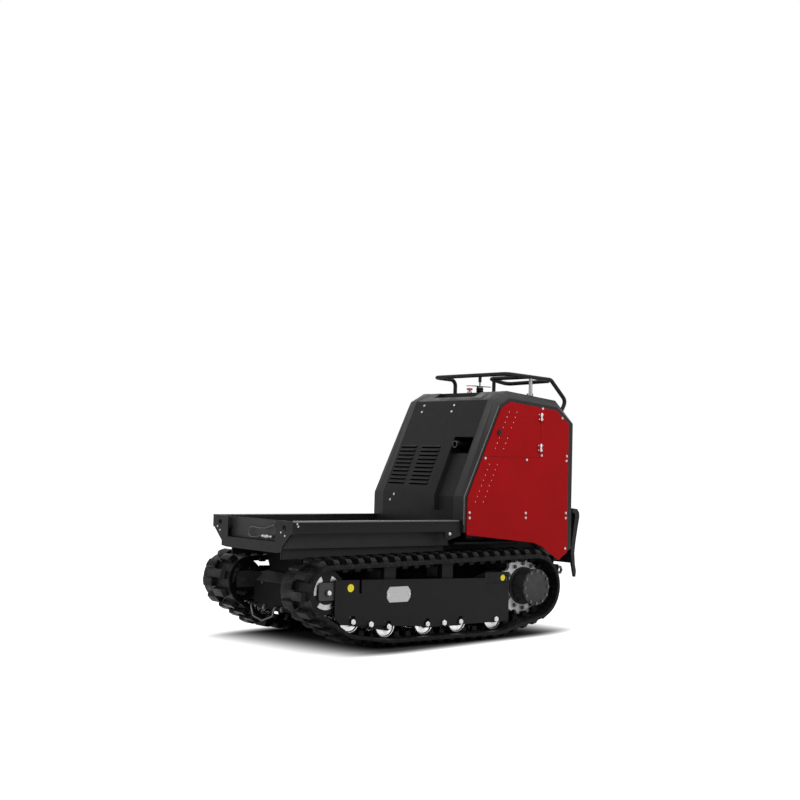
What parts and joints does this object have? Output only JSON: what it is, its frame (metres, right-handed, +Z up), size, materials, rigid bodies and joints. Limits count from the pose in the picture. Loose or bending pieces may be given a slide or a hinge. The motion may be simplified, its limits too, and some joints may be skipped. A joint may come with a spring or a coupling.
{
  "type": "tracked power carrier",
  "caption": "Self-propelled carrier on rubber tracks, with a low open load deck in front and a leaning engine house with hinged side doors behind.",
  "frame": {"origin": "on the ground, at the middle of the outline's length and width", "axes": "+X forwards to the deck end, +Y to the machine's left, +Z up"},
  "size_m": [1.9299, 0.96, 1.373],
  "materials": {
    "black_paint": "satin powder coat",
    "red_paint": "satin paint",
    "zinc_steel": "zinc plated",
    "polished_steel": "machined",
    "chrome_plate": "polished",
    "belt_rubber": "moulded",
    "hose_rubber": "smooth",
    "black_plastic": "moulded",
    "red_plastic": "gloss",
    "cast_grey": "as cast"
  },
  "bodies": {
    "carrier": {"chassis_frame": "black_paint", "cross_beams": "black_paint", "tow_fittings": "zinc_steel", "left_track_frame": "black_paint", "right_track_frame": "black_paint", "left_track_cover": "black_paint", "right_track_cover": "black_paint", "left_track_belt": "belt_rubber", "right_track_belt": "belt_rubber", "drive_motors": "cast_grey", "left_idler_yoke": "black_paint", "right_idler_yoke": "black_paint", "deck_pan": "black_paint", "deck_lug_pins": "zinc_steel", "service_hose": "hose_rubber", "hose_fittings": "zinc_steel", "house_base": "black_paint", "left_side_frame": "black_paint", "right_side_frame": "black_paint", "front_panel": "black_paint", "top_panel": "black_paint", "rear_panel": "black_paint", "left_lower_panel": "red_paint", "right_lower_panel": "red_paint", "door_hinge_pins": "zinc_steel", "guard_rail": "black_paint", "guard_post": "chrome_plate", "control_console": "polished_steel", "engine_block": "cast_grey", "exhaust": "polished_steel", "hydraulic_pump": "cast_grey", "tanks": "black_plastic", "battery": "black_plastic"},
    "left_drive": {"left_sprocket": "polished_steel", "left_drive_hub": "black_paint"},
    "left_idler_wheel": {"left_idler": "polished_steel"},
    "left_front_rocker": {"left_front_bogie": "black_paint"},
    "left_rear_rocker": {"left_rear_bogie": "black_paint"},
    "left_wheel_1": {"left_roller_1": "polished_steel"},
    "left_wheel_2": {"left_roller_2": "polished_steel"},
    "left_wheel_3": {"left_roller_3": "polished_steel"},
    "left_wheel_4": {"left_roller_4": "polished_steel"},
    "left_wheel_5": {"left_roller_5": "polished_steel"},
    "left_door_leaf": {"left_door": "red_paint"},
    "left_lock": {"left_door_lock": "black_plastic"},
    "right_drive": {"right_sprocket": "polished_steel", "right_drive_hub": "black_paint"},
    "right_idler_wheel": {"right_idler": "polished_steel"},
    "right_front_rocker": {"right_front_bogie": "black_paint"},
    "right_rear_rocker": {"right_rear_bogie": "black_paint"},
    "right_wheel_1": {"right_roller_1": "polished_steel"},
    "right_wheel_2": {"right_roller_2": "polished_steel"},
    "right_wheel_3": {"right_roller_3": "polished_steel"},
    "right_wheel_4": {"right_roller_4": "polished_steel"},
    "right_wheel_5": {"right_roller_5": "polished_steel"},
    "right_door_leaf": {"right_door": "red_paint"},
    "right_lock": {"right_door_lock": "black_plastic"},
    "lever": {"control_lever": "black_plastic"},
    "button": {"stop_button": "red_plastic"},
    "bumper": {"rear_bumper": "black_plastic"}
  },
  "joints": [
    {"name": "left_drive_spin", "type": "hinge", "parent": "carrier", "child": "left_drive", "pos_m": [-0.4845, 0.355, 0.255], "axis": [0, 1, 0], "continuous": true},
    {"name": "left_idler_spin", "type": "hinge", "parent": "carrier", "child": "left_idler_wheel", "pos_m": [0.8155, 0.355, 0.274], "axis": [0, 1, 0], "continuous": true},
    {"name": "left_front_bogie_rock", "type": "hinge", "parent": "carrier", "child": "left_front_rocker", "pos_m": [0.5725, 0.355, 0.11837], "axis": [0, 1, 0], "range_deg": [-4, 4], "stiffness_Nm_per_rad": 400, "deforming": ["left_track_belt"]},
    {"name": "left_rear_bogie_rock", "type": "hinge", "parent": "carrier", "child": "left_rear_rocker", "pos_m": [0.1215, 0.355, 0.102], "axis": [0, 1, 0], "range_deg": [-4, 4], "stiffness_Nm_per_rad": 400, "deforming": ["left_track_belt"]},
    {"name": "left_roller_1_spin", "type": "hinge", "parent": "left_front_rocker", "child": "left_wheel_1", "pos_m": [0.67824, 0.355, 0.13474], "axis": [0, 1, 0], "continuous": true},
    {"name": "left_roller_2_spin", "type": "hinge", "parent": "left_front_rocker", "child": "left_wheel_2", "pos_m": [0.46676, 0.355, 0.102], "axis": [0, 1, 0], "continuous": true},
    {"name": "left_roller_3_spin", "type": "hinge", "parent": "left_rear_rocker", "child": "left_wheel_3", "pos_m": [0.2285, 0.355, 0.102], "axis": [0, 1, 0], "continuous": true},
    {"name": "left_roller_4_spin", "type": "hinge", "parent": "left_rear_rocker", "child": "left_wheel_4", "pos_m": [0.0145, 0.355, 0.102], "axis": [0, 1, 0], "continuous": true},
    {"name": "left_roller_5_spin", "type": "hinge", "parent": "carrier", "child": "left_wheel_5", "pos_m": [-0.2235, 0.355, 0.102], "axis": [0, 1, 0], "continuous": true},
    {"name": "left_door_swing", "type": "hinge", "parent": "carrier", "child": "left_door_leaf", "pos_m": [-0.5815, 0.3863, 1.075], "axis": [0, 0, 1], "range_deg": [0, 110]},
    {"name": "left_lock_turn", "type": "hinge", "parent": "left_door_leaf", "child": "left_lock", "pos_m": [-0.2855, 0.38, 1.051], "axis": [0, 1, 0], "range_deg": [0, 90]},
    {"name": "right_drive_spin", "type": "hinge", "parent": "carrier", "child": "right_drive", "pos_m": [-0.4845, -0.355, 0.255], "axis": [0, 1, 0], "continuous": true},
    {"name": "right_idler_spin", "type": "hinge", "parent": "carrier", "child": "right_idler_wheel", "pos_m": [0.8155, -0.355, 0.274], "axis": [0, 1, 0], "continuous": true},
    {"name": "right_front_bogie_rock", "type": "hinge", "parent": "carrier", "child": "right_front_rocker", "pos_m": [0.5725, -0.355, 0.11837], "axis": [0, 1, 0], "range_deg": [-4, 4], "stiffness_Nm_per_rad": 400, "deforming": ["right_track_belt"]},
    {"name": "right_rear_bogie_rock", "type": "hinge", "parent": "carrier", "child": "right_rear_rocker", "pos_m": [0.1215, -0.355, 0.102], "axis": [0, 1, 0], "range_deg": [-4, 4], "stiffness_Nm_per_rad": 400, "deforming": ["right_track_belt"]},
    {"name": "right_roller_1_spin", "type": "hinge", "parent": "right_front_rocker", "child": "right_wheel_1", "pos_m": [0.67824, -0.355, 0.13474], "axis": [0, 1, 0], "continuous": true},
    {"name": "right_roller_2_spin", "type": "hinge", "parent": "right_front_rocker", "child": "right_wheel_2", "pos_m": [0.46676, -0.355, 0.102], "axis": [0, 1, 0], "continuous": true},
    {"name": "right_roller_3_spin", "type": "hinge", "parent": "right_rear_rocker", "child": "right_wheel_3", "pos_m": [0.2285, -0.355, 0.102], "axis": [0, 1, 0], "continuous": true},
    {"name": "right_roller_4_spin", "type": "hinge", "parent": "right_rear_rocker", "child": "right_wheel_4", "pos_m": [0.0145, -0.355, 0.102], "axis": [0, 1, 0], "continuous": true},
    {"name": "right_roller_5_spin", "type": "hinge", "parent": "carrier", "child": "right_wheel_5", "pos_m": [-0.2235, -0.355, 0.102], "axis": [0, 1, 0], "continuous": true},
    {"name": "right_door_swing", "type": "hinge", "parent": "carrier", "child": "right_door_leaf", "pos_m": [-0.5815, -0.3863, 1.075], "axis": [0, 0, -1], "range_deg": [0, 110]},
    {"name": "right_lock_turn", "type": "hinge", "parent": "right_door_leaf", "child": "right_lock", "pos_m": [-0.2855, -0.38, 1.051], "axis": [0, -1, 0], "range_deg": [0, 90]},
    {"name": "lever_tilt", "type": "hinge", "parent": "carrier", "child": "lever", "pos_m": [-0.5275, -0.05, 1.292], "axis": [0, 1, 0], "range_deg": [-12, 12], "stiffness_Nm_per_rad": 2},
    {"name": "stop_press", "type": "slide", "parent": "carrier", "child": "button", "axis": [0, 0, -1], "range_m": [0, 0.005], "stiffness_N_per_m": 1500, "springref_m": -0.001},
    {"name": "bumper_tilt", "type": "hinge", "parent": "carrier", "child": "bumper", "pos_m": [-0.8625, 0, 0.385], "axis": [0, 1, 0], "range_deg": [0, 6]}
  ],
  "couplings": [
    {"joint": "left_idler_spin", "follows": "left_drive_spin", "ratio": 1.4151},
    {"joint": "left_roller_1_spin", "follows": "left_drive_spin", "ratio": 2.5862},
    {"joint": "left_roller_2_spin", "follows": "left_drive_spin", "ratio": 2.5862},
    {"joint": "left_roller_3_spin", "follows": "left_drive_spin", "ratio": 2.5862},
    {"joint": "left_roller_4_spin", "follows": "left_drive_spin", "ratio": 2.5862},
    {"joint": "left_roller_5_spin", "follows": "left_drive_spin", "ratio": 2.5862},
    {"joint": "right_idler_spin", "follows": "right_drive_spin", "ratio": 1.4151},
    {"joint": "right_roller_1_spin", "follows": "right_drive_spin", "ratio": 2.5862},
    {"joint": "right_roller_2_spin", "follows": "right_drive_spin", "ratio": 2.5862},
    {"joint": "right_roller_3_spin", "follows": "right_drive_spin", "ratio": 2.5862},
    {"joint": "right_roller_4_spin", "follows": "right_drive_spin", "ratio": 2.5862},
    {"joint": "right_roller_5_spin", "follows": "right_drive_spin", "ratio": 2.5862}
  ]
}
